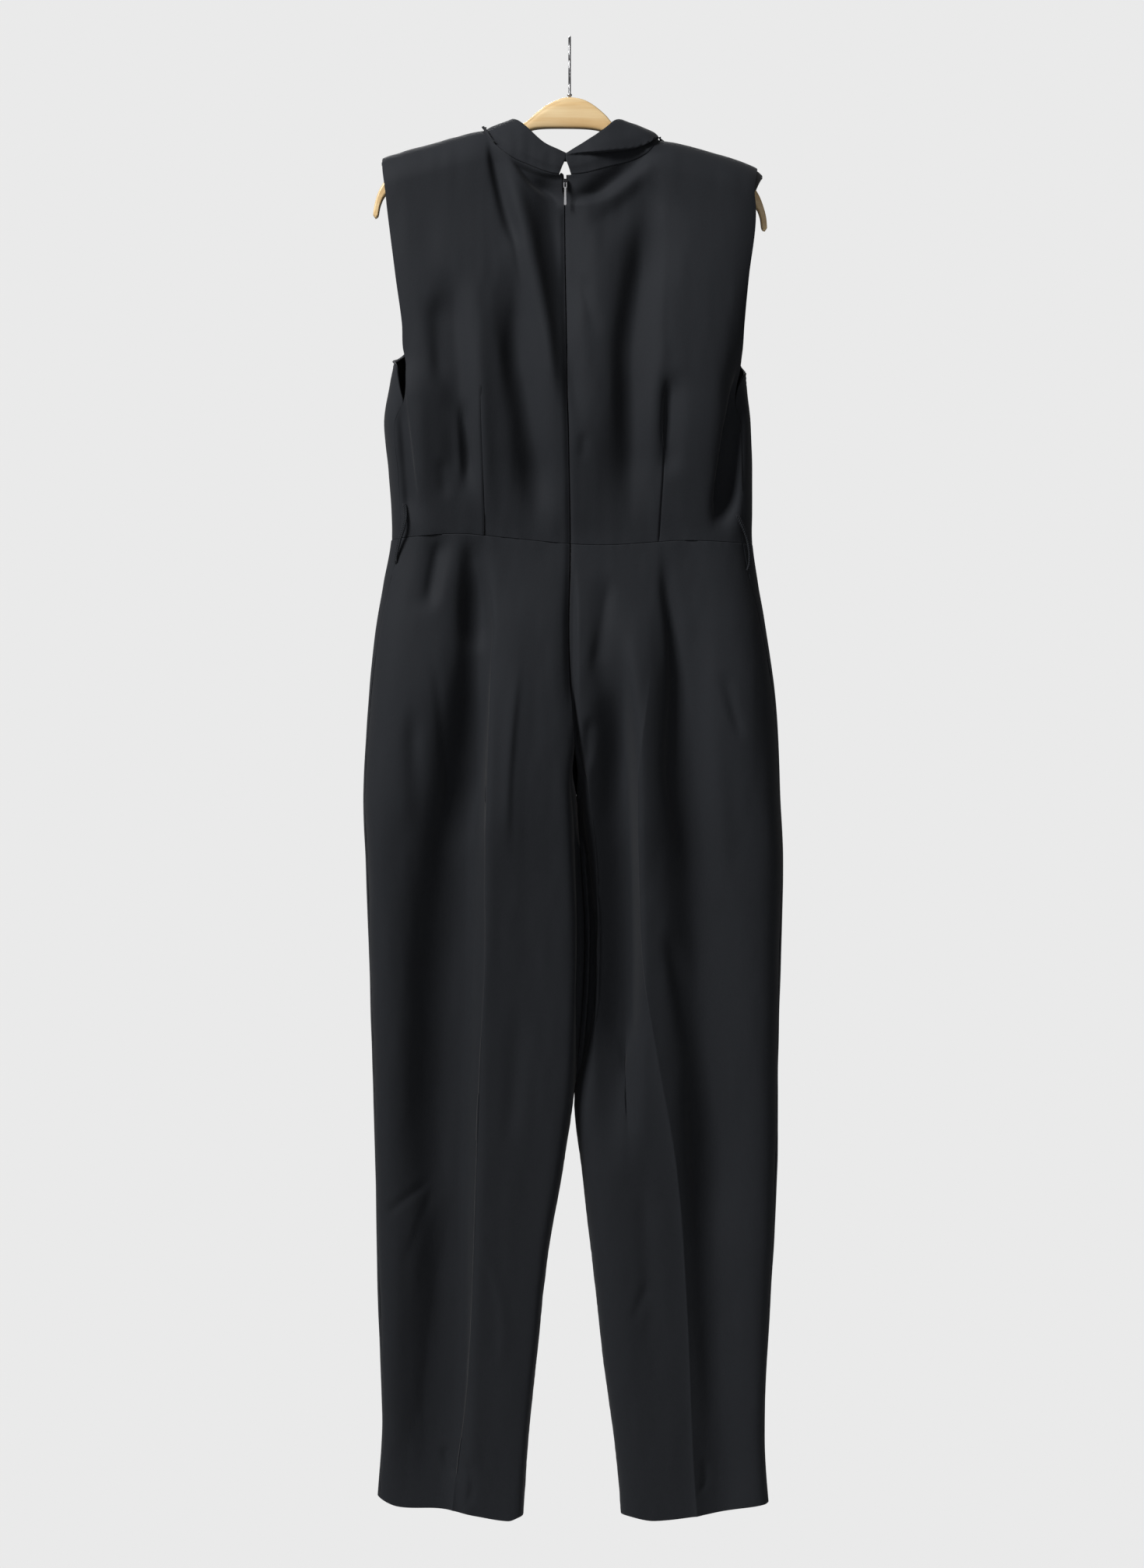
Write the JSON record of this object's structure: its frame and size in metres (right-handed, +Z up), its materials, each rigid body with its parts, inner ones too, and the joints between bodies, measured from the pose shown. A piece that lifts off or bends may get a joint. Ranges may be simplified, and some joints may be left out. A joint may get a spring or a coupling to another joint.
{
  "type": "jumpsuit on a clothes hanger",
  "caption": "Sleeveless long-legged crepe jumpsuit with a stand neckband, padded shoulders and a back zip, hanging on a wooden clothes hanger with a wire hook.",
  "frame": {"origin": "the point inside the top of the hanger's hook where a rail carries it", "axes": "+Z up; -Y towards the garment's back, where the zip is; +X towards the wearer's right; the garment hangs below the origin"},
  "size_m": [0.4414, 0.1331, 1.5597],
  "materials": {
    "crepe": "matte woven crepe",
    "padding": "matte covered padding",
    "zip_tape": "matte woven tape",
    "zip_metal": "bright nickel",
    "hanger_wood": "light varnished birch",
    "hook_wire": "polished wire"
  },
  "bodies": {
    "garment": {"bodice_back_left": "crepe", "bodice_back_right": "crepe", "bodice_front": "crepe", "neckband_left": "crepe", "neckband_right": "crepe", "trouser_back_left": "crepe", "trouser_front_left": "crepe", "trouser_back_right": "crepe", "trouser_front_right": "crepe", "shoulder_pad_left": "padding", "shoulder_pad_right": "padding", "zip_tape": "zip_tape", "zip_slider": "zip_metal", "belt_loop_left": "crepe", "belt_loop_right": "crepe", "hanger_board": "hanger_wood", "hanger_hook": "hook_wire"},
    "zip_pull": {"zip_pull": "zip_metal"}
  },
  "joints": [
    {"name": "zip_pull_swing", "type": "hinge", "parent": "garment", "child": "zip_pull", "pos_m": [-0.0046, -0.04301, -0.159], "axis": [-1, 0, 0], "range_deg": [0, 165]}
  ]
}
